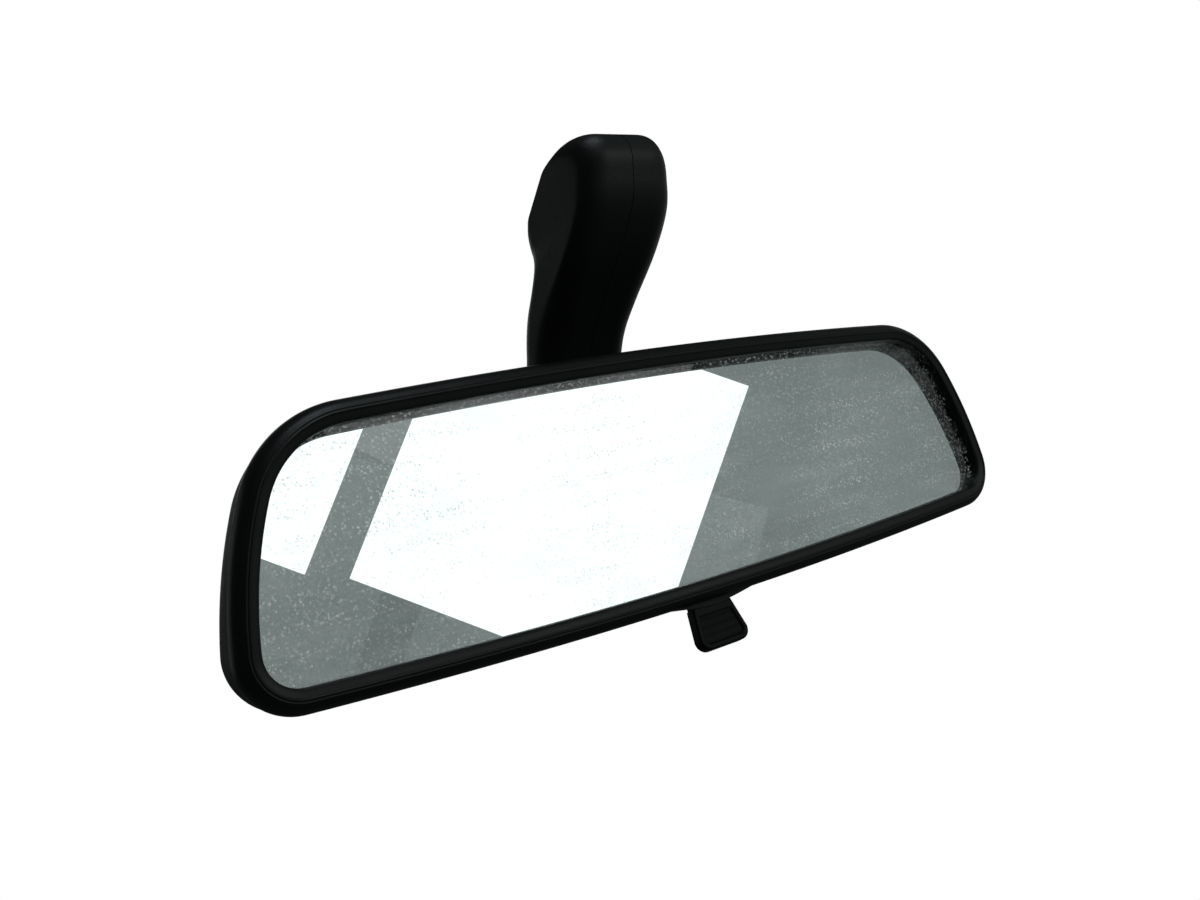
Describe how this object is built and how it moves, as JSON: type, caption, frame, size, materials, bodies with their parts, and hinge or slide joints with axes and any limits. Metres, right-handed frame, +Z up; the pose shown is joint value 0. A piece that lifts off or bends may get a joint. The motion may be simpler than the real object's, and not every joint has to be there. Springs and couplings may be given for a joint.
{
  "type": "interior rearview mirror",
  "caption": "Interior rearview mirror with a windscreen foot, a slanted arm, a ball joint, a framed wedge-glass head and a day/night tab.",
  "frame": {"origin": "centre of the mouth of the round socket in the foot, on the inner face of the windscreen", "axes": "+X along the glass to the right as seen by the driver, -Y towards the driver (the way the glass faces), +Z up"},
  "size_m": [0.2466, 0.0593, 0.1366],
  "materials": {
    "rubber_black": "matte",
    "zinc_cast": "satin",
    "spring_steel": "satin",
    "screw_steel": "satin",
    "arm_plastic": "fine grain",
    "nylon": "satin",
    "bracket_plastic": "matte",
    "housing_plastic": "fine grain",
    "bezel_plastic": "satin grain",
    "glass": "polished",
    "silvering": "mirror",
    "foam": "foam",
    "lever_plastic": "fine grain"
  },
  "bodies": {
    "arm": {"foot_gasket": "rubber_black", "foot_plate": "zinc_cast", "foot_spring": "spring_steel", "foot_screws": "screw_steel", "arm_core": "zinc_cast", "cover_left": "arm_plastic", "cover_right": "arm_plastic", "ball_stud": "spring_steel", "stud_nut": "screw_steel"},
    "swivel": {"ball_liner": "nylon"},
    "nod": {"clamp_cup": "spring_steel"},
    "bracket": {"toggle_bracket": "bracket_plastic", "pressure_ring": "nylon", "wave_spring": "spring_steel", "retainer_plate": "spring_steel", "retainer_screws": "screw_steel"},
    "head": {"rear_housing": "housing_plastic", "bezel": "bezel_plastic", "mirror_glass": "glass", "mirror_coating": "silvering", "glass_pads": "foam", "pivot_pin": "screw_steel", "lever_pin": "screw_steel", "toggle_spring": "spring_steel"},
    "lever": {"day_night_lever": "lever_plastic"}
  },
  "joints": [
    {"name": "head_swivel", "type": "hinge", "parent": "arm", "child": "swivel", "pos_m": [0, 0.0065, -0.077], "axis": [0, 0, 1], "range_deg": [-20, 20]},
    {"name": "head_nod", "type": "hinge", "parent": "swivel", "child": "nod", "pos_m": [0, 0.0065, -0.077], "axis": [1, 0, 0], "range_deg": [-14, 14]},
    {"name": "head_roll", "type": "hinge", "parent": "nod", "child": "bracket", "pos_m": [0, 0.0065, -0.077], "axis": [0, 1, 0], "range_deg": [-10, 10]},
    {"name": "day_night_tilt", "type": "hinge", "parent": "bracket", "child": "head", "pos_m": [0, -0.0045, -0.06], "axis": [1, 0, 0], "range_deg": [0, 4]},
    {"name": "lever_flip", "type": "hinge", "parent": "head", "child": "lever", "pos_m": [0, -0.0075, -0.1085], "axis": [1, 0, 0], "range_deg": [0, 32]}
  ],
  "couplings": [
    {"joint": "lever_flip", "follows": "day_night_tilt", "ratio": 8}
  ]
}
